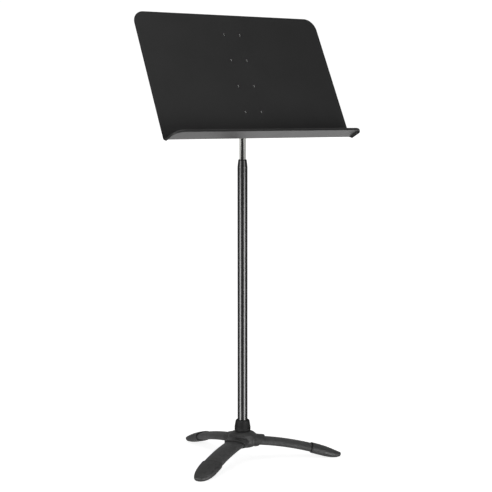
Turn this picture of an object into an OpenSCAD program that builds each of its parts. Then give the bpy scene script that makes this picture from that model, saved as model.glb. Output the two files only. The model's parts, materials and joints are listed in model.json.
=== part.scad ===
// Orchestra music stand: folded sheet desk on a telescopic mast over a three-legged base.
// Origin: under the middle of the stand's outline, at floor level. +Z up, the player stands on the -Y side.
// The modules are drawn about the pole's axis; placed() moves them to the origin.

/* [Desk] */
// Width of the desk across its ledge
desk_w = 508; // [400:1:600]
// Height of the back plate, measured along the plate
desk_h = 300.3; // [250:1:360]
// How much narrower the plate is at its top, on each side
desk_taper = 4.2; // [0:0.1:10]
// Depth of the ledge that carries the music
ledge_d = 51; // [35:1:70]
// Height of the turned-down edge round the ledge
flange_h = 6.5; // [5:0.5:10]
// Sheet thickness of the desk
sheet_t = 1.2; // [0.8:0.1:2]
// Radius of the plate's top corners
top_corner_r = 29; // [10:1:60]
// Radius of the ledge's front corners
front_corner_r = 22; // [12:1:30]
// Lean of the back plate from the vertical
desk_tilt = 25.2; // [0:0.1:60]

/* [Desk bracket] */
// Distance from the plate's front face back to the tilt bolt's axis
pivot_depth = 31.5; // [28:0.1:45]
// Distance from the plate's lower edge up to the tilt bolt
pivot_v = 95.2; // [80:0.1:120]
// Distance between the two columns of rivets
rivet_col = 43.2; // [30:0.1:46]
// Distance between the four rows of rivets
rivet_row = 62.7; // [50:0.1:70]
// Distance from the plate's lower edge up to the lowest row of rivets
rivet_v = 63.1; // [55:0.1:70]
// Thickness of the pressed bracket
bracket_t = 2; // [1.5:0.1:3]

/* [Mast] */
// Height of the tilt bolt's axis above the floor
pivot_z = 796; // [730:0.1:1100]
// Diameter of the plated inner tube
inner_d = 16; // [14:0.1:18]
// Length of the plated inner tube
inner_len = 600; // [500:1:640]
// Diameter of the black outer tube
outer_d = 22.6; // [20:0.1:26]
// Height of the outer tube's top above the floor
outer_top = 658; // [600:1:700]
// Wall thickness of both tubes
tube_wall = 1.2; // [1:0.1:1.5]
// Height of the tapered collar on the outer tube
collar_h = 18; // [12:1:25]

/* [Base] */
// Distance from the pole's axis to the tip of a foot
leg_reach = 224; // [190:1:260]
// Direction of the right-hand leg, seen from above
leg_turn = -31.5; // [-60:0.1:0]
// Width of a leg's flat-oval tube
leg_w = 45; // [38:0.5:48]
// Thickness of a leg's flat-oval tube
leg_t = 18.6; // [16:0.1:21]
// Radius of the leg's downward bend
arch_r = 610; // [500:5:700]
// Height of the bend's highest point, on the centre line of the leg
arch_top = 42; // [38:0.1:50]
// Thickness of the rubber boot
boot_t = 2; // [1.5:0.1:3.5]
// Distance from the pole's axis to the boot's open end
boot_start = 156; // [130:1:170]
// Wall of the hub round each leg
hub_wall = 3.2; // [2.5:0.1:5]

/* [Base nut] */
// Largest diameter of the ribbed nut
nut_d = 36.2; // [32:0.1:40]
// Height of the nut's lower face above the floor
nut_z = 64.8; // [62:0.1:68]
// Height of the ribbed nut
nut_h = 24.9; // [22:0.1:28]

/* [Hidden] */
$fn = 96;

black = [0.09, 0.09, 0.1];
grey = [0.25, 0.25, 0.26];
steel = [0.6, 0.6, 0.62];
chrome = [0.8, 0.8, 0.82];

pole_y = -48;          // the pole, measured from the middle of the outline
leg_az = [leg_turn, leg_turn + 120, leg_turn + 240];   // right, rear, front
leg_wall = 1.5;
leg_side_r = 6;        // radius of the oval's narrow sides
leg_start = 18;        // the legs' inner ends, clear of the tube's socket
leg_end = 178;         // where the leg's tube stops inside its boot
bolt_reach = 29;       // the bolt that holds each leg from below
hub_low = arch_top - leg_t / 2 - hub_wall - 0.4;   // flat underside of the hub
bolt_seat = hub_low + 0.4;
cap_lip = 2.2;
cap_r = 11;
drain_r = 8;
bolt_head_r = 5.2;
insert_r = 4.45;

fit = 0.05;            // radial clearance of a running fit
loose = 0.3;           // radial clearance where nothing rubs

outer_r = outer_d / 2;
outer_in = outer_r - tube_wall;
inner_r = inner_d / 2;
inner_in = inner_r - tube_wall;
outer_bottom = 37;
mast_top = pivot_z - 13;
mast_bottom = mast_top - inner_len;

spigot_r = 14;         // threaded neck of the hub
spigot_top = 79.4;
ring_h = 6;
ring_z = spigot_top + fit;

bushing_h = 42;        // clutch bushing, inside the outer tube under the collar
bushing_top = outer_top - 9;
finger_slot = 1.5;

plug_pin_z = mast_bottom + 13;
head_r = 11;           // cross barrel of the tilt head
head_half = 25;
socket_r = 10.6;
socket_len = 25;
head_pin_z = pivot_z - head_r - 13;
bolt_r = 4;            // M8 tilt bolt
washer_t = 2;
ear_in = head_half + washer_t;
ear_out = ear_in + bracket_t;
flat_t = 1.6;
spring_t = 1.4;

web_front = -pivot_depth + sheet_t;      // desk frame: Y back from the tilt bolt, Z up the plate
desk_foot = -pivot_v;
bend_r = 3;            // outer radius of every fold in the sheet
corner_r = front_corner_r;

// Oval outline of four arcs: thickness along X, width along Y, r is the radius of its narrow sides
module oval(w, t, r) {
    side = w / 2 - r;                                              // centres of the side arcs
    face_r = (t * t / 4 + side * side - r * r) / (t - 2 * r);      // radius of the two broad faces
    face_x = face_r - t / 2;
    join = side * face_r / (face_r - r);                           // where the arcs meet
    intersection() {
        translate([-face_x, 0]) circle(face_r);
        translate([face_x, 0]) circle(face_r);
        square([t, 2 * join], center = true);
    }
    for (y = [-side, side])
        translate([0, y])
            circle(r);
}

// Leg's outline, grown on every side
module leg_oval(grow) {
    oval(leg_w + 2 * grow, leg_t + 2 * grow, leg_side_r + grow);
}

// Sweeps the leg's outline along its arch, from one reach to another, along +X
module arch(grow, from, to) {
    translate([0, 0, arch_top - arch_r])
        rotate([0, -90, -90])
            rotate([0, 0, asin(from / arch_r)])
                rotate_extrude(angle = asin(to / arch_r) - asin(from / arch_r), $fn = 180)
                    translate([arch_r, 0])
                        leg_oval(grow);
}

// Height of the arch's centre line at a given reach
function arch_z(reach) = arch_top - arch_r + sqrt(arch_r * arch_r - reach * reach);

// Places a child along one leg, with +X pointing outwards
module on_leg(i) {
    rotate([0, 0, leg_az[i]])
        children();
}

// Places a child in the desk's own frame: pivot at the origin, +Z up the plate, +Y behind it
module on_desk() {
    translate([0, 0, pivot_z])
        rotate([-desk_tilt, 0, 0])
            children();
}

// Ring along +Z, standing on its lower face
module ring(outside, inside, h) {
    difference() {
        cylinder(r = outside, h = h);
        translate([0, 0, -1])
            cylinder(r = inside, h = h + 2);
    }
}

// Turns a child's +Z to +X, starting at x
module along_x(x) {
    translate([x, 0, 0])
        rotate([0, 90, 0])
            children();
}

// ---- base ----

// One sleeve of the hub: a second sweep thickens its back, and its mouth is cut back towards the underside
module hub_sleeve() {
    rim = 50;
    back_rise = 2.6;
    back_tilt = 2.2;
    mouth_slant = 38;
    cutter = 120;
    difference() {
        union() {
            arch(hub_wall, 1, rim + 6);
            translate([0, 0, back_rise])
                rotate([0, back_tilt, 0])
                    arch(hub_wall, 1, rim + 6);
        }
        translate([rim, 0, arch_z(rim) + leg_t / 2 + hub_wall])
            rotate([0, mouth_slant, 0])
                translate([0, -cutter / 2, -cutter / 2])
                    cube(cutter);
    }
}

// Turned middle of the hub: a bowl below, a shoulder that rises to the nut, and the threaded neck
module hub_core() {
    belly_r = 34.5;
    belly = [[24, 0], [28, 1.4], [31.5, 4], [33.7, 7.5], [belly_r, 12], [belly_r - 0.6, 17]];
    gap = 1.4;             // what shows of the neck under the nut
    top = nut_z - gap;
    shoulder = [[belly_r - 4, top - 6], [belly_r - 9, top - 2.4], [21, top - 0.3], [19, top], [0, top]];
    rotate_extrude()
        polygon(concat([[0, hub_low]], [for (p = belly) [p[0], hub_low + p[1]]], shoulder));
    cylinder(r = spigot_r, h = spigot_top);
}

module hub_body() {
    hub_core();
    for (i = [0:2])
        on_leg(i)
            hub_sleeve();
}

module base_hub() {
    color(grey)
        difference() {
            hub_body();
            cylinder(r = 2 * spigot_top, h = hub_low);
            translate([0, 0, outer_bottom])
                cylinder(r = outer_r + fit, h = spigot_top);
            cylinder(r = drain_r, h = outer_bottom + 1);
            cylinder(r = cap_r, h = hub_low + cap_lip + 0.2);
            for (i = [0:2])
                on_leg(i) {
                    arch(fit, leg_start - 1, 70);
                    translate([bolt_reach, 0, 0]) {
                        cylinder(r = bolt_head_r + 0.3, h = bolt_seat);
                        cylinder(r = 3.2, h = arch_z(bolt_reach));
                    }
                }
        }
}

// Round cap that closes the underside of the hub
module hub_cap() {
    color(black) {
        translate([0, 0, hub_low - 2])
            cylinder(r = cap_r + 3, h = 2);
        translate([0, 0, hub_low])
            ring(cap_r - fit, cap_r - 2, cap_lip);
    }
}

module leg(i) {
    color(grey)
        on_leg(i)
            difference() {
                arch(0, leg_start, leg_end);
                arch(-leg_wall, leg_start - 2, leg_end + 2);
                translate([bolt_reach, 0, 0])
                    cylinder(r = insert_r + fit, h = arch_z(bolt_reach));
            }
}

module leg_right() { leg(0); }
module leg_rear() { leg(1); }
module leg_front() { leg(2); }

// Threaded inserts set in the underside of the legs
module leg_inserts() {
    under = arch_z(bolt_reach) - leg_t / 2;
    color(steel)
        for (i = [0:2])
            on_leg(i)
                translate([bolt_reach, 0, under + 0.2])
                    ring(insert_r, 3, 7);
}

// Button-head bolts, entered from below
module leg_bolts() {
    head_h = 2;
    color(steel)
        for (i = [0:2])
            on_leg(i)
                translate([bolt_reach, 0, bolt_seat - head_h])
                    difference() {
                        union() {
                            cylinder(r1 = bolt_head_r - 1.4, r2 = bolt_head_r, h = head_h);
                            cylinder(r = 3 - fit, h = head_h + 9);
                        }
                        cylinder(r = 2, h = 1.5, $fn = 6);
                    }
}

// One slice of a boot, squared to the arch and lifted off it
module boot_slice(reach, scale_w, scale_t, lift) {
    full_w = leg_w + 2 * boot_t;
    full_t = leg_t + 2 * boot_t;
    turn = asin(reach / arch_r);
    translate([reach, 0, arch_z(reach) + lift])
        rotate([0, turn + 90, 0])
            linear_extrude(0.2)
                oval(full_w * scale_w, full_t * scale_t, full_t * scale_t * 0.36, $fn = 48);
}

// Rubber boot: a sock over the leg's end with a tapered toe and a flat sole
module boot(i) {
    nose = leg_reach - boot_start;
    // along the boot: share of its length, share of the full width and thickness, lift off the arch
    shape = [[0, 1, 1, 0], [0.25, 0.99, 1, 0], [0.45, 0.95, 0.97, 0], [0.62, 0.86, 0.88, 0.3],
             [0.76, 0.73, 0.75, 1], [0.87, 0.58, 0.61, 2.3], [0.94, 0.46, 0.49, 3.6],
             [0.985, 0.34, 0.37, 4.6]];
    below = 60;
    color(black)
        on_leg(i)
            difference() {
                for (k = [0:len(shape) - 2])
                    hull()
                        for (p = [shape[k], shape[k + 1]])
                            boot_slice(boot_start + nose * p[0], p[1], p[2], p[3]);
                translate([0, -below, -below])
                    cube([leg_reach + below, 2 * below, below]);
                arch(fit, boot_start - 10, leg_end + 0.5);
            }
}

module boot_right() { boot(0); }
module boot_rear() { boot(1); }
module boot_front() { boot(2); }

// ---- column ----

module outer_tube() {
    color(black)
        translate([0, 0, outer_bottom])
            ring(outer_r, outer_in, outer_top - outer_bottom);
}

// Tapered collar that closes the outer tube's top
module top_collar() {
    bore = inner_r + loose;
    lip = 6;
    color(black)
        rotate_extrude()
            polygon([[bore, outer_top - lip], [outer_in - fit, outer_top - lip], [outer_in - fit, outer_top],
                     [outer_r, outer_top], [outer_r, outer_top + 1.5],
                     [outer_r - 1.5, outer_top + collar_h - 2.5],
                     [outer_r - 2.4, outer_top + collar_h], [bore, outer_top + collar_h]]);
}

// Split ring that the nut squeezes onto the outer tube
module compression_ring() {
    color(grey)
        difference() {
            translate([0, 0, ring_z])
                rotate_extrude()
                    polygon([[outer_r + fit, 0], [spigot_r - 0.6, 0], [spigot_r - 0.2, 1],
                             [spigot_r - 0.8, ring_h], [outer_r + fit, ring_h]]);
            translate([0, -0.6, ring_z - 1])
                cube([20, 1.2, ring_h + 2]);
        }
}

// Ribbed hand nut: a cone with a chamfered top and bottom and upright grooves
module base_nut() {
    r = nut_d / 2;
    top_r = r - 2.4;
    grooves = 40;
    shape = [[0, 0], [r - 1.2, 0], [r, 3], [r, 8], [top_r, nut_h - 2], [top_r - 1.8, nut_h], [0, nut_h]];
    color(black)
        translate([0, 0, nut_z])
            difference() {
                rotate_extrude()
                    polygon(shape);
                translate([0, 0, -1])
                    cylinder(r = spigot_r + loose, h = ring_z + ring_h - nut_z + 1 + fit);
                cylinder(r = outer_r + loose, h = nut_h + 1);
                for (k = [0:grooves - 1])
                    rotate([0, 0, k * 360 / grooves])
                        translate([r + 0.15, 0, 3])
                            rotate([0, -atan(2.4 / (nut_h - 10)) * 0.82, 0])
                                cylinder(r = 0.75, h = nut_h - 6, $fn = 16);
            }
}

// Friction bushing with springy fingers, gripping the inner tube
module clutch_bushing() {
    color(grey)
        translate([0, 0, bushing_top - bushing_h])
            difference() {
                ring(outer_in - fit, inner_r + fit, bushing_h);
                translate([0, 0, 6])
                    ring(outer_in + 1, outer_in - 0.95, 2);
                for (k = [0:2])
                    rotate([0, 0, k * 60])
                        translate([-20, -finger_slot / 2, -1])
                            cube([40, finger_slot, bushing_h * 0.7]);
            }
}

// Spring ring in the groove round the fingers
module clutch_ring() {
    color(steel)
        translate([0, 0, bushing_top - bushing_h + 7])
            rotate([0, 0, 15])
                rotate_extrude(angle = 330)
                    translate([outer_in - 0.55, 0])
                        circle(r = 0.38);
}

// ---- mast ----

module inner_tube() {
    color(chrome)
        difference() {
            translate([0, 0, mast_bottom])
                ring(inner_r, inner_in, inner_len);
            translate([0, 0, plug_pin_z])
                along_x(-20)
                    cylinder(r = 1.5 + fit, h = 40);
            translate([0, 0, head_pin_z])
                along_x(-20)
                    cylinder(r = 2 + fit, h = 40);
        }
}

// Plastic guide that closes the inner tube and runs inside the outer one
module guide_plug() {
    color(grey)
        difference() {
            rotate_extrude()
                polygon([[0, mast_bottom - 12], [outer_in - loose - 1, mast_bottom - 12],
                         [outer_in - loose, mast_bottom - 11], [outer_in - loose, mast_bottom],
                         [inner_in - fit, mast_bottom], [inner_in - fit, mast_bottom + 24],
                         [inner_in - 1, mast_bottom + 25], [0, mast_bottom + 25]]);
            translate([0, 0, plug_pin_z])
                along_x(-20)
                    cylinder(r = 1.5 + fit, h = 40);
        }
}

module plug_pin() {
    color(steel)
        translate([0, 0, plug_pin_z])
            along_x(-inner_r + 0.1)
                cylinder(r = 1.5, h = 2 * inner_r - 0.2);
}

// Cross barrel on a socket that takes the top of the inner tube
module tilt_head() {
    color(black)
        difference() {
            union() {
                translate([0, 0, pivot_z])
                    along_x(-head_half + fit)
                        cylinder(r = head_r, h = 2 * (head_half - fit));
                translate([0, 0, pivot_z - head_r - socket_len])
                    cylinder(r = socket_r, h = socket_len + head_r);
            }
            translate([0, 0, pivot_z])
                along_x(-head_half - 1)
                    cylinder(r = bolt_r + fit, h = 2 * head_half + 2);
            translate([0, 0, pivot_z - 100])
                cylinder(r = inner_r + fit, h = mast_top + fit - pivot_z + 100);
            translate([0, 0, head_pin_z])
                along_x(-20)
                    cylinder(r = 2 + fit, h = 40);
        }
}

module head_pin() {
    color(steel)
        translate([0, 0, head_pin_z])
            along_x(-socket_r + 0.2)
                cylinder(r = 2, h = 2 * socket_r - 0.4);
}

// ---- desk ----

module tilt_bolt() {
    head_x = -ear_out - flat_t;
    end_x = ear_out + flat_t + spring_t + 9.5;
    color(steel)
        on_desk() {
            along_x(head_x - 5.3)
                cylinder(r = 7.5, h = 5.3, $fn = 6);
            along_x(head_x)
                cylinder(r = bolt_r, h = end_x - head_x);
        }
}

module friction_washers() {
    color([0.85, 0.83, 0.78])
        on_desk()
            for (x = [-ear_in, head_half])
                along_x(x)
                    ring(10, bolt_r + fit, washer_t);
}

module flat_washers() {
    color(steel)
        on_desk()
            for (x = [-ear_out - flat_t, ear_out])
                along_x(x)
                    ring(8.5, bolt_r + fit, flat_t);
}

// Dished spring washer that keeps the joint firm
module spring_washer() {
    cone = 0.5;
    color(steel)
        on_desk()
            along_x(ear_out + flat_t)
                rotate_extrude()
                    polygon([[bolt_r + fit, cone], [8, 0], [8, spring_t - cone], [bolt_r + fit, spring_t]]);
}

module lock_nut() {
    color(steel)
        on_desk()
            along_x(ear_out + flat_t + spring_t)
                difference() {
                    union() {
                        cylinder(r = 7.5, h = 6, $fn = 6);
                        cylinder(r = 5.8, h = 8);
                    }
                    translate([0, 0, -1])
                        cylinder(r = bolt_r + fit, h = 10);
                }
}

// Side outline of one ear: a low wall along the plate that swells round the tilt bolt
module ear_outline() {
    wall = 12;
    low = desk_foot + rivet_v - 14;
    high = desk_foot + rivet_v + 3 * rivet_row + 14;
    boss = 14;
    difference() {
        union() {
            translate([web_front, low])
                square([wall, high - low]);
            hull() {
                circle(r = boss);
                translate([web_front, -34])
                    square([wall, 68]);
            }
        }
        circle(r = bolt_r + fit);
    }
}

// Pressed channel riveted to the back of the plate, with an ear on each side of the tilt head
module desk_bracket() {
    low = desk_foot + rivet_v - 14;
    high = desk_foot + rivet_v + 3 * rivet_row + 14;
    color(black)
        on_desk()
            difference() {
                union() {
                    translate([-ear_out, web_front, low])
                        cube([2 * ear_out, bracket_t, high - low]);
                    for (x = [-ear_out, ear_in])
                        translate([x, 0, 0])
                            rotate([90, 0, 90])
                                linear_extrude(bracket_t)
                                    ear_outline();
                }
                rivet_places()
                    rotate([-90, 0, 0])
                        cylinder(r = 2 + fit, h = 20, center = true);
            }
}

// Puts a child at each rivet, on the plate's front face
module rivet_places() {
    for (row = [0:3])
        for (side = [-1, 1])
            translate([side * rivet_col / 2, -pivot_depth, desk_foot + rivet_v + row * rivet_row])
                children();
}

// Section of the ledge's fold: quarter round, then a short skirt; X outwards, Y up
module fold_section() {
    intersection() {
        difference() {
            circle(r = bend_r);
            circle(r = bend_r - sheet_t);
        }
        square(bend_r);
    }
    translate([bend_r - sheet_t, bend_r - flange_h])
        square([sheet_t, flange_h - bend_r]);
}

// Half of the ledge's folded edge: along the front, round the corner and back along the end
module half_fold() {
    front = ledge_d - bend_r;
    half = desk_w / 2 - bend_r;
    inset = corner_r - bend_r;
    top = desk_foot + sheet_t - bend_r;
    translate([0, -pivot_depth - front, top])
        rotate([90, 0, 90])
            linear_extrude(half - inset)
                mirror([1, 0])
                    fold_section();
    translate([half - inset, -pivot_depth - front + inset, top])
        rotate([0, 0, -90])
            rotate_extrude(angle = 90)
                translate([inset, 0])
                    fold_section();
    difference() {
        translate([half, -pivot_depth, top])
            rotate([90, 0, 0])
                linear_extrude(front - inset)
                    fold_section();
        translate([half - 1, -pivot_depth, desk_foot])
            rotate([90, 0, 90])
                linear_extrude(bend_r + 2)
                    polygon([[1, 1], [1, -flange_h], [-7, -flange_h], [-7, sheet_t - flange_h]]);
    }
}

// Outline of the back plate: a slight taper and two round corners at the top
module plate_outline(half, top) {
    r = top_corner_r;
    side = half - desk_taper;
    foot = desk_foot + bend_r;
    polygon([[-half, foot], [half, foot], [side, top - r], [side - r, top],
             [r - side, top], [-side, top - r]]);
    for (x = [r - side, side - r])
        translate([x, top - r])
            circle(r);
}

// Quarter-round bend between the back plate and the ledge
module plate_fold(half) {
    translate([-half, -pivot_depth + sheet_t - bend_r, desk_foot + bend_r])
        rotate([90, 0, 90])
            linear_extrude(2 * half)
                intersection() {
                    difference() {
                        circle(bend_r);
                        circle(bend_r - sheet_t);
                    }
                    translate([0, -bend_r])
                        square(bend_r);
                }
}

// Flat part of the ledge, with round front corners
module ledge_outline(half) {
    r = corner_r - bend_r;
    back = -pivot_depth + sheet_t - bend_r;
    front = -pivot_depth - ledge_d + bend_r;
    polygon([[-half, back], [-half, front + r], [r - half, front], [half - r, front],
             [half, front + r], [half, back]]);
    for (x = [r - half, half - r])
        translate([x, front + r])
            circle(r);
}

// Folded sheet: back plate with round top corners, ledge, and the ledge's turned-down edge
module desk_panel() {
    half = desk_w / 2;
    top = desk_foot + desk_h;
    color(black)
        on_desk()
            difference() {
                union() {
                    translate([0, -pivot_depth + sheet_t, 0])
                        rotate([90, 0, 0])
                            linear_extrude(sheet_t)
                                plate_outline(half, top);
                    plate_fold(half);
                    translate([0, 0, desk_foot])
                        linear_extrude(sheet_t)
                            ledge_outline(half - bend_r);
                    half_fold();
                    mirror([1, 0, 0])
                        half_fold();
                }
                rivet_places()
                    rotate([-90, 0, 0])
                        cylinder(r = 2 + fit, h = 20, center = true);
            }
}

module desk_rivets() {
    back = sheet_t + bracket_t;
    color(steel)
        on_desk()
            rivet_places()
                rotate([-90, 0, 0])
                    rotate_extrude($fn = 32)
                        polygon([[0, -1.2], [1.4, -1], [2.6, -0.5], [3, 0], [2, 0],
                                 [2, back], [2.8, back], [2.4, back + 1.2], [0, back + 1.2]]);
}

// Puts a finished sub-part in the stand's frame
module placed() {
    translate([0, pole_y, 0])
        children();
}

placed() base_hub();
placed() hub_cap();
placed() leg_right();
placed() leg_rear();
placed() leg_front();
placed() leg_bolts();
placed() leg_inserts();
placed() boot_right();
placed() boot_rear();
placed() boot_front();
placed() outer_tube();
placed() top_collar();
placed() compression_ring();
placed() base_nut();
placed() clutch_bushing();
placed() clutch_ring();
placed() inner_tube();
placed() guide_plug();
placed() plug_pin();
placed() tilt_head();
placed() head_pin();
placed() tilt_bolt();
placed() friction_washers();
placed() flat_washers();
placed() spring_washer();
placed() lock_nut();
placed() desk_bracket();
placed() desk_panel();
placed() desk_rivets();
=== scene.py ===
"""Looks for the music stand: materials, smooth boots and hub, floor, light and camera."""

import json
import math

import bpy
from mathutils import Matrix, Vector


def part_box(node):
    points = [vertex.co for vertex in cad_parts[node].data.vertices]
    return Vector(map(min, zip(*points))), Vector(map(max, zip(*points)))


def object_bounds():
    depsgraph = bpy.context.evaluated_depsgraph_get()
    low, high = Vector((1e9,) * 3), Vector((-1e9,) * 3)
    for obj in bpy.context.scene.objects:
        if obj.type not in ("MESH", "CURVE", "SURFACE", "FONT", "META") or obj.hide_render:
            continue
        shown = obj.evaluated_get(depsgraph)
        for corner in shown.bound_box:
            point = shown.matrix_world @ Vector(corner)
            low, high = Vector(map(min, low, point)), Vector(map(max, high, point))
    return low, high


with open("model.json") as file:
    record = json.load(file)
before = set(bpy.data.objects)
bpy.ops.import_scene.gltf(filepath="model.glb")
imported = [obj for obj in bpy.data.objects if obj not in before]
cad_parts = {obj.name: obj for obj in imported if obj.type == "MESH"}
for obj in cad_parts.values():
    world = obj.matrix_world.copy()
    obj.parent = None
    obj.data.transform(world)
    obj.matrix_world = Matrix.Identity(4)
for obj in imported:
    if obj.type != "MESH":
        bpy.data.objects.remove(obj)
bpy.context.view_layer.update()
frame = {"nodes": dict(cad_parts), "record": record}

# The camera: its turn round the stand, its aim, and its place from the pole in metres
CAMERA_AZIMUTH = math.radians(-36.71)
CAMERA_PITCH = math.radians(5.55)
CAMERA_DISTANCE = 3.109
CAMERA_HEIGHT = 0.785
CAMERA_SIDE = 0.0078
LENS = 102.44
SENSOR_WIDTH = 36.0

# Glow of the room, of its far wall, of the white that the camera sees and of the floor
ROOM_LIGHT = 0.06
BACK_GLOW = 0.4
SEEN_WHITE = 1.05
FLOOR_GLOW = 0.86
FLOOR_REACH = 40.0
FLOOR_GAP = 0.0002

# Softboxes in front at both sides: name, turn in degrees and the high box's radiance
FRONT_BOXES = (("left", -52, 3.0), ("right", 48, 2.2))
FRONT_DISTANCE = 2.6
LOW_HEIGHT = -0.225
LOW_SIZE = (1.4, 1.49)
LOW_RADIANCE = 8.5
HIGH_HEIGHT = 1.4
HIGH_SIZE = (1.4, 1.4)

# Cards for the plated tube: turn in degrees and radiance. They reach as high as the mast can rise.
CARDS = ((-90, 1.35), (-148, 1.35), (66, 0.78), (124, 0.78), (180, 0.95))
CARD_DISTANCE = 0.7
CARD_SIZE = (0.82, 1.06)
CARD_HEIGHT = 1.12

# The legs' arch: its radius, how far its centre lies under the floor, and the boots' mouths along it, with
# where the painted shade line at each mouth is full and where it fades out
ARCH_RADIUS = 0.61
ARCH_DEPTH = 0.568
MOUTH_REACH = 0.156
MOUTH_ANGLE = math.asin(MOUTH_REACH / ARCH_RADIUS)
MOUTH_SHADE_FULL = 0.001
MOUTH_SHADE_END = 0.0024


def pole_axis():
    """The pole's axis on the floor."""
    low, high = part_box("outer_tube")
    return Vector(((low.x + high.x) / 2, (low.y + high.y) / 2, 0))


POLE = pole_axis()
RIGHT = Vector((math.cos(CAMERA_AZIMUTH), math.sin(CAMERA_AZIMUTH), 0))
AHEAD = Vector((-math.sin(CAMERA_AZIMUTH), math.cos(CAMERA_AZIMUTH), 0))


# ---- node helpers ----


class Graph:
    """A material's node tree with short calls for the nodes used here."""

    def __init__(self, name):
        self.material = bpy.data.materials.new(name)
        self.material.use_nodes = True
        self.tree = self.material.node_tree
        self.tree.nodes.clear()
        out = self.tree.nodes.new("ShaderNodeOutputMaterial")
        self.shader = self.tree.nodes.new("ShaderNodeBsdfPrincipled")
        self.link(self.shader.outputs[0], out.inputs["Surface"])
        coords = self.tree.nodes.new("ShaderNodeTexCoord")
        self.place = coords.outputs["Object"]
        self.normal = coords.outputs["Normal"]

    def link(self, source, socket):
        self.tree.links.new(source, socket)

    def feed(self, socket, value):
        """Links a socket or sets a plain value."""
        if isinstance(value, bpy.types.NodeSocket):
            self.link(value, socket)
        else:
            socket.default_value = value

    def noise(self, scale, detail=2.0, roughness=0.5, place=None):
        n = self.tree.nodes.new("ShaderNodeTexNoise")
        n.inputs["Scale"].default_value = scale
        n.inputs["Detail"].default_value = detail
        n.inputs["Roughness"].default_value = roughness
        self.link(place or self.place, n.inputs["Vector"])
        return n.outputs[0]

    def voronoi(self, scale):
        n = self.tree.nodes.new("ShaderNodeTexVoronoi")
        n.inputs["Scale"].default_value = scale
        self.link(self.place, n.inputs["Vector"])
        return n.outputs["Distance"]

    def stretch(self, scale):
        """Coordinates scaled differently along each axis."""
        n = self.tree.nodes.new("ShaderNodeMapping")
        n.inputs["Scale"].default_value = scale
        self.link(self.place, n.inputs["Vector"])
        return n.outputs[0]

    def remap(self, value, low, high, to_low, to_high):
        n = self.tree.nodes.new("ShaderNodeMapRange")
        for socket, v in zip(n.inputs, (value, low, high, to_low, to_high)):
            self.feed(socket, v)
        return n.outputs[0]

    def math(self, operation, a, b=0.0):
        n = self.tree.nodes.new("ShaderNodeMath")
        n.operation = operation
        self.feed(n.inputs[0], a)
        self.feed(n.inputs[1], b)
        return n.outputs[0]

    def mix(self, factor, a, b):
        """Mixes two colours."""
        n = self.tree.nodes.new("ShaderNodeMix")
        n.data_type = "RGBA"
        self.feed(n.inputs[0], factor)
        self.feed(n.inputs[6], a)
        self.feed(n.inputs[7], b)
        return n.outputs[2]

    def axis(self, vector, letter):
        n = self.tree.nodes.new("ShaderNodeSeparateXYZ")
        self.link(vector, n.inputs[0])
        return n.outputs[letter]

    def edges(self, radius):
        """One along sharp edges, nothing on flat faces."""
        bevel = self.tree.nodes.new("ShaderNodeBevel")
        bevel.samples = 6
        bevel.inputs["Radius"].default_value = radius
        geometry = self.tree.nodes.new("ShaderNodeNewGeometry")
        dot = self.tree.nodes.new("ShaderNodeVectorMath")
        dot.operation = "DOT_PRODUCT"
        self.link(bevel.outputs[0], dot.inputs[0])
        self.link(geometry.outputs["Normal"], dot.inputs[1])
        return self.remap(dot.outputs["Value"], 0.99, 0.8, 0.0, 1.0)

    def bump(self, height, distance, below=None):
        n = self.tree.nodes.new("ShaderNodeBump")
        n.inputs["Strength"].default_value = 1.0
        n.inputs["Distance"].default_value = distance
        self.feed(n.inputs["Height"], height)
        if below is not None:
            self.link(below, n.inputs["Normal"])
        return n.outputs[0]

    def finish(self, colour, roughness, normal=None, **sockets):
        self.feed(self.shader.inputs["Base Color"], colour)
        self.feed(self.shader.inputs["Roughness"], roughness)
        if normal is not None:
            self.link(normal, self.shader.inputs["Normal"])
        for name, value in sockets.items():
            self.shader.inputs[name.replace("_", " ")].default_value = value
        return self.material


def grey(value, warmth=0.0):
    return (value * (1 + warmth), value, value * (1 - warmth), 1.0)


# ---- materials: noise scales are features per metre, bump depths are metres ----


def shade_at_mouth(g):
    """Mask of painted shade: one in the gap where a boot's mouth grips its leg, nothing elsewhere."""
    flat = g.tree.nodes.new("ShaderNodeMapping")
    flat.inputs["Location"].default_value = -POLE
    flat.inputs["Scale"].default_value = (1, 1, 0)
    g.link(g.place, flat.inputs["Vector"])
    reach = g.tree.nodes.new("ShaderNodeVectorMath")
    reach.operation = "LENGTH"
    g.link(flat.outputs[0], reach.inputs[0])
    depth = g.math("ADD", g.axis(g.place, "Z"), ARCH_DEPTH)
    angle = g.math("ARCTAN2", reach.outputs["Value"], depth)
    off = g.math("ABSOLUTE", g.math("SUBTRACT", angle, MOUTH_ANGLE))
    return g.remap(off, MOUTH_SHADE_FULL / ARCH_RADIUS, MOUTH_SHADE_END / ARCH_RADIUS, 1.0, 0.0)


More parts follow.
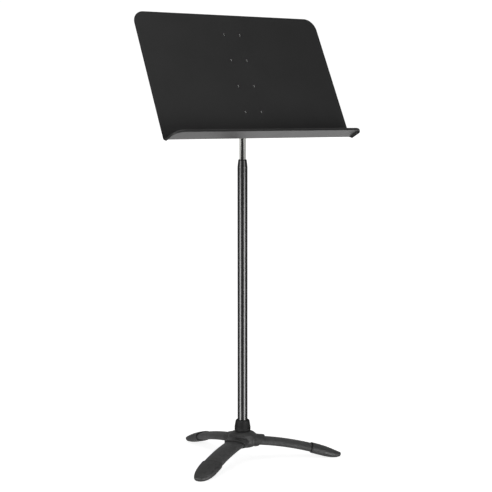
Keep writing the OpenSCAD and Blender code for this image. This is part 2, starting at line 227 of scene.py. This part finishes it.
def powder_coat(name, tone, roughness, grain, depth, specular=0.5, mottle=0.04, mouth_shading=False):
    """Baked powder coat: fine grain, uneven tone, slow changes of gloss, faint dust and worn edges, and on
    request painted shade where a boot's mouth grips the leg.
    """
    g = Graph(name)
    fine = g.noise(1 / grain, detail=2.0, roughness=0.6)
    pits = g.voronoi(0.7 / grain)
    slow = g.noise(14.0, detail=3.0)
    dust = g.math("MULTIPLY", g.remap(g.axis(g.normal, "Z"), 0.6, 0.98, 0.0, 1.0),
                  g.remap(g.noise(60.0, detail=4.0), 0.45, 0.75, 0.0, 0.12))
    uneven = g.math("ADD", slow, g.noise(210.0, detail=3.0))
    body = g.mix(g.remap(uneven, 0.7, 1.3, 0.0, 1.0),
                 grey(tone * (1 - mottle)), grey(tone * (1 + mottle)))
    speckled = g.mix(g.remap(fine, 0.52, 0.72, 0.0, 0.35), body, grey(tone * 2.0))
    dusty = g.mix(dust, speckled, grey(0.16, 0.03))
    worn = g.mix(g.math("MULTIPLY", g.edges(0.0006), g.remap(g.noise(90.0), 0.4, 0.65, 0.0, 0.4)),
                 dusty, grey(tone * 3.0 + 0.03))
    rough = g.remap(g.math("ADD", slow, fine), 0.6, 1.4, roughness - 0.03, roughness + 0.03)
    if mouth_shading:
        # Painted shade: the leg's colour darkened in the gap at a boot's mouth.
        worn = g.mix(shade_at_mouth(g), worn, grey(tone * 0.05))
    soft = g.bump(fine, depth)
    normal = g.bump(pits, depth * 0.6, below=soft)
    return g.finish(worn, rough, normal, Specular_IOR_Level=specular)


def gloss_paint(name, tone, coat=0.35):
    """Gloss paint on drawn tube: slight orange peel, hairline rubs and a few dust specks."""
    g = Graph(name)
    peel = g.noise(260.0, detail=1.0)
    rubs = g.noise(1.0, detail=5.0, roughness=0.7, place=g.stretch((900.0, 900.0, 14.0)))
    slow = g.noise(20.0, detail=3.0)
    body = g.mix(g.remap(slow, 0.35, 0.65, 0.0, 1.0), grey(tone * 0.9), grey(tone * 1.15))
    specks = g.mix(g.remap(g.noise(1800.0), 0.74, 0.8, 0.0, 0.5), body, grey(0.12))
    rough = g.remap(g.math("ADD", rubs, slow), 0.7, 1.3, 0.22, 0.25)
    normal = g.bump(peel, 0.0000015)
    return g.finish(specks, rough, normal, Coat_Weight=coat, Coat_Roughness=0.12)


def chrome(name):
    """Bright chrome plate with sliding rubs along the tube and a faint haze."""
    g = Graph(name)
    rubs = g.noise(1.0, detail=3.0, roughness=0.6, place=g.stretch((1400.0, 1400.0, 5.0)))
    haze = g.noise(35.0, detail=3.0)
    colour = g.mix(g.remap(rubs, 0.35, 0.75, 0.0, 1.0), (0.34, 0.34, 0.325, 1), (0.42, 0.42, 0.405, 1))
    rough = g.remap(g.math("ADD", rubs, haze), 0.7, 1.4, 0.09, 0.13)
    return g.finish(colour, rough, g.bump(rubs, 0.0000001), Metallic=1.0)


def zinc(name):
    """Bright zinc plate: small cloudy crystals and turned marks."""
    g = Graph(name)
    clouds = g.noise(420.0, detail=3.0)
    cells = g.voronoi(650.0)
    colour = g.mix(g.remap(clouds, 0.3, 0.7, 0.0, 1.0), (0.42, 0.43, 0.45, 1), (0.6, 0.61, 0.62, 1))
    rough = g.remap(clouds, 0.3, 0.7, 0.28, 0.42)
    return g.finish(colour, rough, g.bump(cells, 0.00002), Metallic=1.0)


def rubber(name, tone):
    """Moulded rubber: spark-eroded grain, a slight bloom, scuffs low down, painted contact shade along the
    sole and painted shade at the mouth.
    """
    g = Graph(name)
    grain = g.noise(2600.0, detail=2.0)
    bloom = g.noise(150.0, detail=4.0, roughness=0.65)
    height = g.axis(g.place, "Z")
    scuffs = g.math("MULTIPLY", g.remap(height, 0.004, 0.016, 1.0, 0.0),
                    g.remap(g.noise(240.0, detail=5.0), 0.5, 0.7, 0.0, 0.3))
    body = g.mix(g.remap(bloom, 0.35, 0.65, 0.0, 1.0), grey(tone * 0.8), grey(tone * 1.6))
    scuffed = g.mix(scuffs, body, grey(tone * 2.6))
    # Painted contact shade: the lowest few millimetres of the boot darkened.
    sole_shaded = g.mix(g.remap(height, 0.0022, 0.0038, 0.85, 0.0), scuffed, grey(tone * 0.2))
    # Painted shade in the gap at the boot's mouth: darker colour there, and rougher.
    mouth_shading = shade_at_mouth(g)
    dark = g.mix(mouth_shading, sole_shaded, grey(tone * 0.1))
    rough = g.math("ADD", g.remap(bloom, 0.3, 0.7, 0.46, 0.6), g.math("MULTIPLY", mouth_shading, 0.35))
    return g.finish(dark, rough, g.bump(grain, 0.00004), Specular_IOR_Level=0.55)


def rivet_metal(name):
    """Dark plated rivet heads, buffed by handling and dull where the die left rings."""
    g = Graph(name)
    rings = g.noise(700.0, detail=3.0)
    colour = g.mix(g.remap(rings, 0.3, 0.7, 0.0, 1.0), grey(0.11), grey(0.18))
    rough = g.remap(rings, 0.3, 0.7, 0.14, 0.22)
    return g.finish(colour, rough, g.bump(rings, 0.00001), Metallic=1.0)


def plastic(name, tone, roughness, tint=0.0, specular=0.5):
    """Moulded plastic with a light spark grain and handling shine."""
    g = Graph(name)
    fine = g.noise(2500.0, detail=2.0)
    touch = g.noise(120.0, detail=4.0)
    body = g.mix(g.remap(touch, 0.3, 0.7, 0.0, 1.0), grey(tone * 0.9, tint), grey(tone * 1.15, tint))
    rubbed = g.mix(g.math("MULTIPLY", g.edges(0.0004), g.remap(touch, 0.4, 0.65, 0.1, 0.5)),
                   body, grey(min(tone * 2.2 + 0.02, 0.9), tint))
    rough = g.remap(touch, 0.3, 0.7, roughness - 0.06, roughness + 0.06)
    return g.finish(rubbed, rough, g.bump(fine, 0.00003), Specular_IOR_Level=specular)


def make_materials():
    """The materials by the names of the record's slots."""
    base_coat = {"roughness": 0.5, "grain": 0.0009, "depth": 0.00008, "specular": 0.35, "mottle": 0.4}
    return {
        "hub_paint": powder_coat("hub_paint", 0.032, **base_coat),
        # The legs get painted shade at the boots' mouths.
        "leg_paint": powder_coat("leg_paint", 0.046, mouth_shading=True, **base_coat),
        "boot_rubber": rubber("boot_rubber", 0.025),
        "gloss_paint": gloss_paint("gloss_paint", 0.013),
        "collar_plastic": gloss_paint("collar_plastic", 0.012, coat=1.0),
        "black_plastic": plastic("black_plastic", 0.013, 0.6, specular=0.22),
        "grey_nylon": plastic("grey_nylon", 0.22, 0.45),
        "white_nylon": plastic("white_nylon", 0.7, 0.4, tint=0.04),
        "chrome_plate": chrome("chrome_plate"),
        "zinc_steel": zinc("zinc_steel"),
        "desk_paint": powder_coat("desk_paint", 0.015, roughness=0.46, grain=0.0006, depth=0.00003),
        "rivet_paint": rivet_metal("rivet_paint"),
    }


def slot_of(node):
    """The record's material slot of a CAD node."""
    return next(p["material_slot"] for p in frame["record"]["subparts"] if p["node"] == node)


def soften(name, voxel, rounds):
    """Turns a faceted CAD solid into one smooth casting or moulding."""
    remesh = frame["nodes"][name].modifiers.new("skin", "REMESH")
    remesh.mode = "VOXEL"
    remesh.voxel_size = voxel
    remesh.use_smooth_shade = True
    smooth = frame["nodes"][name].modifiers.new("soften", "SMOOTH")
    smooth.factor = 0.5
    smooth.iterations = rounds


def paint_cad(materials):
    """Gives every CAD node its material."""
    for name, obj in frame["nodes"].items():
        obj.data.materials.clear()
        obj.data.materials.append(materials[slot_of(name)])


# ---- floor, light and camera ----


def make_floor():
    """A pale floor that runs out into the white background. Only the camera sees it."""
    mesh = bpy.data.meshes.new("floor")
    corners = [(x * FLOOR_REACH, y * FLOOR_REACH, 0.0) for x, y in ((-1, -1), (1, -1), (1, 1), (-1, 1))]
    mesh.from_pydata(corners, [], [(0, 1, 2, 3)])
    floor = bpy.data.objects.new("floor", mesh)
    floor.location.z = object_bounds()[0].z - FLOOR_GAP
    floor.visible_glossy = floor.visible_diffuse = floor.visible_shadow = False
    bpy.context.collection.objects.link(floor)
    g = Graph("floor_white")
    g.finish(g.mix(g.noise(3.0), grey(0.6), grey(0.62)), 0.8, Specular_IOR_Level=0.1)
    away = g.tree.nodes.new("ShaderNodeVectorMath")
    away.operation = "LENGTH"
    g.link(g.place, away.inputs[0])
    g.shader.inputs["Emission Color"].default_value = (1, 1, 1, 1)
    g.link(g.remap(away.outputs["Value"], 0.3, 2.0, FLOOR_GLOW, 1.1), g.shader.inputs["Emission Strength"])
    mesh.materials.append(g.material)


def make_world():
    """White to look at, dim in reflections but for the backdrop: the softboxes shape the metal."""
    world = bpy.data.worlds.new("studio")
    bpy.context.scene.world = world
    world.use_nodes = True
    tree = world.node_tree
    tree.nodes.clear()
    out = tree.nodes.new("ShaderNodeOutputWorld")
    mix = tree.nodes.new("ShaderNodeMixShader")
    seen = tree.nodes.new("ShaderNodeBackground")
    seen.inputs[0].default_value = (1, 1, 1, 1)
    seen.inputs[1].default_value = SEEN_WHITE
    room = tree.nodes.new("ShaderNodeBackground")
    room.inputs[0].default_value = (1, 1, 1, 1)
    coords = tree.nodes.new("ShaderNodeTexCoord")
    behind = tree.nodes.new("ShaderNodeVectorMath")
    behind.operation = "DOT_PRODUCT"
    tree.links.new(coords.outputs["Generated"], behind.inputs[0])
    behind.inputs[1].default_value = AHEAD
    glow = tree.nodes.new("ShaderNodeMapRange")
    for socket, value in zip(glow.inputs[1:5], (0.4, 0.9, ROOM_LIGHT, BACK_GLOW)):
        socket.default_value = value
    tree.links.new(behind.outputs["Value"], glow.inputs[0])
    tree.links.new(glow.outputs[0], room.inputs[1])
    sight = tree.nodes.new("ShaderNodeLightPath")
    tree.links.new(sight.outputs["Is Camera Ray"], mix.inputs[0])
    tree.links.new(room.outputs[0], mix.inputs[1])
    tree.links.new(seen.outputs[0], mix.inputs[2])
    tree.links.new(mix.outputs[0], out.inputs[0])


def softbox(name, turn, distance, height, size, radiance, aim=0.45, lights=None):
    """A rectangular area light, turned from the camera's side of the stand.

    With lights, it reaches only those CAD nodes.
    """
    light = bpy.data.lights.new(name, "AREA")
    light.shape = "RECTANGLE"
    light.size, light.size_y = size
    light.energy = radiance * math.pi * size[0] * size[1]
    obj = bpy.data.objects.new(name, light)
    side = -AHEAD * math.cos(math.radians(turn)) + RIGHT * math.sin(math.radians(turn))
    obj.location = POLE + side * distance + Vector((0, 0, height))
    obj.rotation_mode = "QUATERNION"
    obj.rotation_quaternion = (obj.location - POLE - Vector((0, 0, aim))).to_track_quat("Z", "Y")
    obj.visible_camera = False
    bpy.context.collection.objects.link(obj)
    if lights:
        receivers = bpy.data.collections.new(name + "_receivers")
        for node in lights:
            receivers.objects.link(frame["nodes"][node])
        obj.light_linking.receiver_collection = receivers


def make_lights():
    """Softboxes in front at both sides, fill from above, the floor's bounce, and the cards."""
    painted = [node for node in frame["nodes"] if node != "inner_tube"]
    for side, turn, radiance in FRONT_BOXES:
        softbox("low_" + side, turn, FRONT_DISTANCE, LOW_HEIGHT, LOW_SIZE, LOW_RADIANCE,
                aim=LOW_HEIGHT, lights=painted)
        softbox("high_" + side, turn, FRONT_DISTANCE, HIGH_HEIGHT, HIGH_SIZE, radiance, aim=HIGH_HEIGHT)
    softbox("box_top", turn=0, distance=0.3, height=3.2, size=(2.4, 2.4), radiance=1.7)
    softbox("bounce", turn=0, distance=0.4, height=-0.5, size=(2.6, 2.6), radiance=0.25, aim=4.0)
    softbox("box_under", turn=171, distance=1.3, height=-0.25, size=(1.7, 1.7), radiance=1.35,
            aim=0.73, lights=frame["record"]["behaviour"]["bodies"]["desk"])
    for turn, radiance in CARDS:
        softbox("card_%d" % turn, turn, CARD_DISTANCE, CARD_HEIGHT, CARD_SIZE, radiance,
                aim=CARD_HEIGHT, lights=["inner_tube"])


def make_camera():
    data = bpy.data.cameras.new("camera")
    data.sensor_width = SENSOR_WIDTH
    data.lens = LENS
    camera = bpy.data.objects.new("camera", data)
    camera.location = POLE - AHEAD * CAMERA_DISTANCE + RIGHT * CAMERA_SIDE
    camera.location.z = CAMERA_HEIGHT
    look = AHEAD * math.cos(CAMERA_PITCH) - Vector((0, 0, math.sin(CAMERA_PITCH)))
    camera.rotation_mode = "QUATERNION"
    camera.rotation_quaternion = look.to_track_quat("-Z", "Y")
    bpy.context.collection.objects.link(camera)
    bpy.context.scene.camera = camera


bpy.context.scene.view_settings.view_transform = "Standard"
make_camera()
paint_cad(make_materials())
soften("base_hub", 0.001, 10)
for leg in ("right", "rear", "front"):
    soften("boot_" + leg, 0.0008, 3)
make_floor()
make_world()
make_lights()
